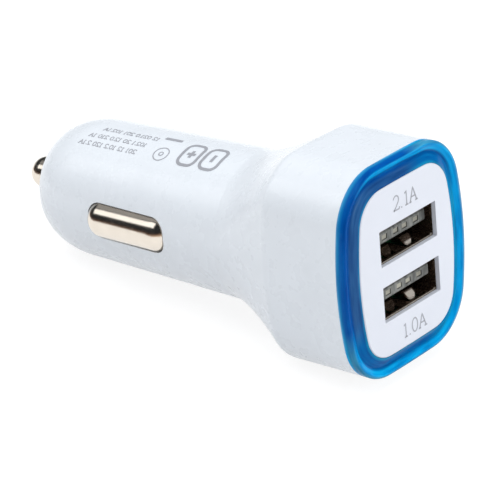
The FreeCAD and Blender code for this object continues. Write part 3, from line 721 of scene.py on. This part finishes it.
def softbox(name, place, size, power):
    """Rectangular lamp that faces the charger and doesn't show in its gloss."""
    data = bpy.data.lights.new(name, "AREA")
    data.shape = "RECTANGLE"
    data.size, data.size_y = size
    data.energy = power
    made = bpy.data.objects.new(name, data)
    away = Vector(place) - Vector(lamp_aim)
    made.matrix_world = Matrix.Translation(place) @ away.to_track_quat("Z", "Y").to_matrix().to_4x4()
    made.visible_glossy = False
    bpy.context.scene.collection.objects.link(made)


def glow_material(name, colour, strength):
    """Plain light for a reflection card."""
    material = bpy.data.materials.new(name)
    material.use_nodes = True
    tree = material.node_tree
    tree.nodes.clear()
    output = tree.nodes.new("ShaderNodeOutputMaterial")
    glow = tree.nodes.new("ShaderNodeEmission")
    glow.inputs["Color"].default_value = (*colour, 1)
    glow.inputs["Strength"].default_value = strength
    tree.links.new(glow.outputs["Emission"], output.inputs["Surface"])
    return material


def graded_glow(name, stops, low, high):
    """Light for a reflection card that changes between two heights, from (share, colour) stops."""
    material = glow_material(name, (1, 1, 1), 1.0)
    tree = material.node_tree
    place = tree.nodes.new("ShaderNodeTexCoord")
    parts = tree.nodes.new("ShaderNodeSeparateXYZ")
    share = tree.nodes.new("ShaderNodeMapRange")
    share.inputs["From Min"].default_value = low
    share.inputs["From Max"].default_value = high
    ramp = tree.nodes.new("ShaderNodeValToRGB")
    set_stops(ramp.color_ramp, stops)
    tree.links.new(place.outputs["Object"], parts.inputs["Vector"])
    tree.links.new(parts.outputs["Z"], share.inputs["Value"])
    tree.links.new(share.outputs["Result"], ramp.inputs["Fac"])
    tree.links.new(ramp.outputs["Color"], tree.nodes["Emission"].inputs["Color"])
    return material


def reflection_card(name, mesh, place=(0, 0, 0)):
    """A piece of the studio that shows in gloss and nowhere else."""
    made = bpy.data.objects.new(name, mesh)
    made.location = place
    made.visible_camera = False
    made.visible_diffuse = False
    made.visible_shadow = False
    made.visible_transmission = False
    made.visible_volume_scatter = False
    bpy.context.scene.collection.objects.link(made)


def dark_room():
    """Dark dome around the charger, pale low on the far side."""
    mesh = bpy.data.meshes.new("dark_room")
    build = bmesh.new()
    bmesh.ops.create_uvsphere(build, u_segments=48, v_segments=24, radius=dome_radius)
    for face in build.faces:
        middle = face.calc_center_median()
        face.material_index = int(middle.x > 0 and middle.y > 0 and middle.z < pale_height)
    build.to_mesh(mesh)
    build.free()
    mesh.materials.append(glow_material("dark_wall", dome_tint, dome_level))
    mesh.materials.append(glow_material("pale_wall", pale_tint, pale_level))
    reflection_card("dark_room", mesh)


def low_screen():
    """Dark curved wall from below the floor up, that ends the floor's reflection."""
    mesh = bpy.data.meshes.new("low_screen")
    build = bmesh.new()
    bmesh.ops.create_cone(
        build,
        cap_ends=False,
        segments=64,
        radius1=screen_radius,
        radius2=screen_radius,
        depth=screen_height,
    )
    far_side = [face for face in build.faces if face.calc_center_median().x > 0]
    bmesh.ops.delete(build, geom=far_side, context="FACES")
    build.to_mesh(mesh)
    build.free()
    half = screen_height / 2
    mesh.materials.append(graded_glow("screen_shade", screen_stops, -half, half))
    reflection_card("low_screen", mesh, screen_place)


def mirrored_window(name, low, high, ends, strength):
    """Bright card between two directions, given as (x, z), and two ends along the charger."""
    low = Vector((low[0], 0, low[1])) * card_distance
    high = Vector((high[0], 0, high[1])) * card_distance
    near, far = (Vector((0, end * card_distance, 0)) for end in ends)
    mesh = bpy.data.meshes.new(name)
    mesh.from_pydata([low + near, low + far, high + far, high + near], [], [(0, 1, 2, 3)])
    mesh.materials.append(glow_material(name, (1, 1, 1), strength))
    reflection_card(name, mesh)


def lights():
    """Two lamps for the light, and what the gloss shows around the charger."""
    softbox("overhead", overhead_place, overhead_size, overhead_power)
    softbox("front", front_place, front_size, front_power)
    dark_room()
    low_screen()
    mirrored_window("side_window", side_card_low, side_card_high, side_card_ends, side_card_level)
    mirrored_window("top_window", top_card_low, top_card_high, top_card_ends, top_card_level)


def refined(line, step):
    """The line with extra points, so that no two lie more than a step apart."""
    points = [line[0]]
    for start, end in zip(line, line[1:]):
        count = max(1, math.ceil(math.dist(start, end) / step))
        for i in range(1, count + 1):
            share = i / count
            points.append((start[0] + (end[0] - start[0]) * share, start[1] + (end[1] - start[1]) * share))
    return points


def slab(name, outline, stroke, place, body, material):
    """Thin raised ink: a ribbon of one width along each line, put on the surface by place(u, v, lift)."""
    build = bmesh.new()
    half = stroke / 2
    for line in outline:
        line = refined(line, ink_step)
        rows = []
        for i, (u, v) in enumerate(line):
            before = line[max(i - 1, 0)]
            after = line[min(i + 1, len(line) - 1)]
            along = Vector((after[0] - before[0], after[1] - before[1])).normalized()
            side = Vector((-along.y, along.x)) * half
            rows.append([
                build.verts.new(place(u + sign * side.x, v + sign * side.y, lift))
                for lift in (ink_lift, ink_lift + ink_thickness)
                for sign in (1, -1)
            ])
        for first, second in zip(rows, rows[1:]):
            for a, b in ((0, 1), (1, 3), (3, 2), (2, 0)):
                build.faces.new((first[a], first[b], second[b], second[a]))
        for end in (rows[0], rows[-1]):
            build.faces.new((end[0], end[1], end[3], end[2]))
    bmesh.ops.recalc_face_normals(build, faces=build.faces)
    mesh = bpy.data.meshes.new(name)
    build.to_mesh(mesh)
    build.free()
    mesh.materials.append(material)
    made = bpy.data.objects.new(name, mesh)
    bpy.context.scene.collection.objects.link(made)
    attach(made, body)


def curve(centre, radii, start, end, count=14):
    """Points along part of an ellipse, between two angles in degrees."""
    points = []
    for i in range(count + 1):
        turn = math.radians(start + (end - start) * i / count)
        points.append((centre[0] + radii[0] * math.cos(turn), centre[1] + radii[1] * math.sin(turn)))
    return points


# Figures and letters as open lines, in a box one unit high with its corner at 0, 0
def figure_two():
    hook = curve((0.30, 0.72), (0.27, 0.28), 165, -35)
    return [hook + [(0.30, 0.28), (0.03, 0.04)], [(0.02, 0.05), (0.58, 0.05), (0.63, 0.18)]]


def figure_one():
    return [[(0.12, 0.84), (0.30, 0.96), (0.30, 0.04)], [(0.14, 0.03), (0.46, 0.03)]]


def figure_zero():
    return [curve((0.32, 0.5), (0.28, 0.47), 90, 450, 28)]


def capital_a():
    return [
        [(0.04, 0.04), (0.36, 0.97), (0.70, 0.04)],
        [(0.17, 0.36), (0.58, 0.36)],
        [(-0.06, 0.03), (0.16, 0.03)],
        [(0.56, 0.03), (0.82, 0.03)],
    ]


def full_stop():
    return [[(0.05, 0.05), (0.15, 0.05)]]


def figure_lines(figures, origin, wide, high):
    """Lines of a row of figures from a corner. Each figure comes with how far it moves the row on."""
    lines = []
    across = 0.0
    for drawn, advance in figures:
        for line in drawn:
            lines.append([(origin[0] + (across + u) * wide, origin[1] + v * high) for u, v in line])
        across += advance
    return lines


def on_plate(u, v, lift):
    """Puts a flat drawing on the plate: u is X and v is Z."""
    return (u, -lift, v)


def port_labels(material):
    """Plain current ratings above and below the sockets."""
    upper = [(figure_two(), 0.74), (full_stop(), 0.34), (figure_one(), 0.62), (capital_a(), 0.9)]
    lower = [(figure_one(), 0.60), (full_stop(), 0.34), (figure_zero(), 0.76), (capital_a(), 0.9)]
    for name, figures, origin in (
        ("rating_upper", upper, upper_label),
        ("rating_lower", lower, lower_label),
    ):
        lines = figure_lines(figures, origin, label_height, label_height)
        slab(name, lines, label_stroke, on_plate, "charger", material)


def on_barrel(u, v, lift):
    """Wraps a drawing round the barrel: u is the depth along it, v the way round from its top to -X."""
    share = (u - barrel_start) / (barrel_end - barrel_start)
    radius = barrel_start_radius + (barrel_end_radius - barrel_start_radius) * share
    turn = v / radius
    reach = radius + lift
    return (-reach * math.sin(turn), u, reach * math.cos(turn))


def barrel_figures(row):
    """The figures of a row on the barrel, each with how far it moves the row on."""
    figures = {
        "0": (figure_zero(), 0.72),
        "1": (figure_one(), 0.56),
        "2": (figure_two(), 0.72),
        "A": (capital_a(), 0.84),
        ".": (full_stop(), 0.26),
        " ": ([], 0.40),
    }
    return [figures[figure] for figure in row]


def rounded_box(centre, half, radius):
    """Closed line of a rounded rectangle."""
    line = []
    for sign_u, sign_v, first in ((1, 1, 0), (-1, 1, 90), (-1, -1, 180), (1, -1, 270)):
        corner = (centre[0] + sign_u * (half[0] - radius), centre[1] + sign_v * (half[1] - radius))
        line += curve(corner, (radius, radius), first, first + 90, 8)
    return line + line[:1]


def way_round(angle):
    """The way round the barrel from its top, for an angle in degrees."""
    return math.radians(angle) * barrel_start_radius


def barrel_print(material):
    """Plain marks on the barrel: rows of figures, a bar, a ringed dot and two signs for the poles."""
    rows = []
    for angle, start, row in print_rows:
        corner = (start * MM, way_round(angle) + row_rise)
        rows += figure_lines(barrel_figures(row), corner, row_height * row_stretch, -row_height)
    bar_line = way_round(bar_angle)
    bar = [[(bar_start + bar_length * i / bar_pieces, bar_line) for i in range(bar_pieces + 1)]]
    middle = (dot_depth, way_round(dot_angle))
    dot = [
        curve(middle, (dot_ring_radius, dot_ring_radius), 0, 360, 32),
        curve(middle, (dot_radius, dot_radius), 0, 360, 16),
    ]
    signs = []
    for depth, plus in ((plus_depth, True), (minus_depth, False)):
        middle = (depth, way_round(sign_angle))
        signs.append(rounded_box(middle, sign_half, sign_corner_radius))
        signs.append([(depth, middle[1] - sign_arm), middle, (depth, middle[1] + sign_arm)])
        if plus:
            signs.append([(depth - sign_arm, middle[1]), middle, (depth + sign_arm, middle[1])])
    for name, lines, stroke in (
        ("print_figures", rows, row_stroke),
        ("print_bar", bar, bar_stroke),
        ("print_dot", dot, dot_stroke),
        ("print_signs", signs, sign_stroke),
    ):
        slab(name, lines, stroke, on_barrel, "charger", material)


materials = finishes()
dress_nodes(materials)
flexing_springs()
ink = moulded_plastic("grey_ink", (0.36, 0.37, 0.41), 0.5, variation=0.06)
pale_ink = moulded_plastic("pale_ink", (0.43, 0.44, 0.49), 0.5, variation=0.06)
port_labels(pale_ink)
barrel_print(ink)
camera()
world()
floor()
lights()
bpy.context.scene.view_settings.view_transform = "Standard"
